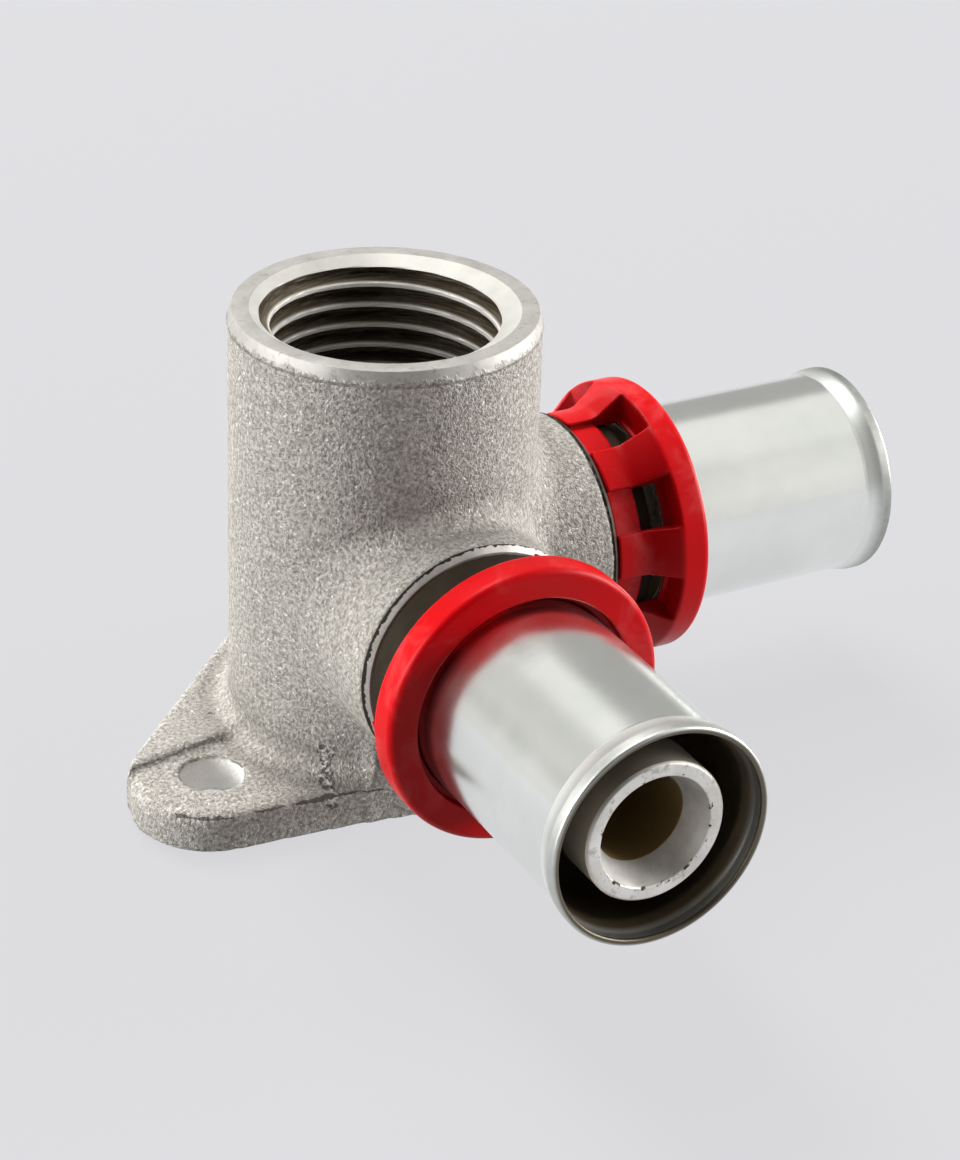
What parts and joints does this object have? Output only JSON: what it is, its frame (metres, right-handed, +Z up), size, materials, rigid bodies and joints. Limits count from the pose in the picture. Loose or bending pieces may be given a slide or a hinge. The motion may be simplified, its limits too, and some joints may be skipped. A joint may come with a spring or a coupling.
{
  "type": "wall plate press elbow",
  "caption": "Wall-plate elbow with an upright female-thread socket and two press outlets at right angles, for multilayer pipe.",
  "frame": {"origin": "on the socket's axis at the plate's underside, the face that is screwed to the wall", "axes": "+Z up the socket, away from the wall; one outlet along +X and the other along -Y, both parallel to the wall"},
  "size_m": [0.07, 0.07, 0.04],
  "materials": {
    "plated_brass": "nickel-plated, blasted forging with turned faces",
    "stainless": "smooth rolled stainless steel",
    "red_plastic": "glossy moulded plastic",
    "black_plastic": "satin moulded plastic",
    "seal_rubber": "smooth moulded rubber"
  },
  "bodies": {
    "root": {"body": "plated_brass", "washer_right": "black_plastic", "washer_front": "black_plastic", "ring_right": "red_plastic", "ring_front": "red_plastic", "sleeve_right": "stainless", "sleeve_front": "stainless", "seal_right_inner": "seal_rubber", "seal_right_outer": "seal_rubber", "seal_front_inner": "seal_rubber", "seal_front_outer": "seal_rubber"}
  },
  "joints": []
}
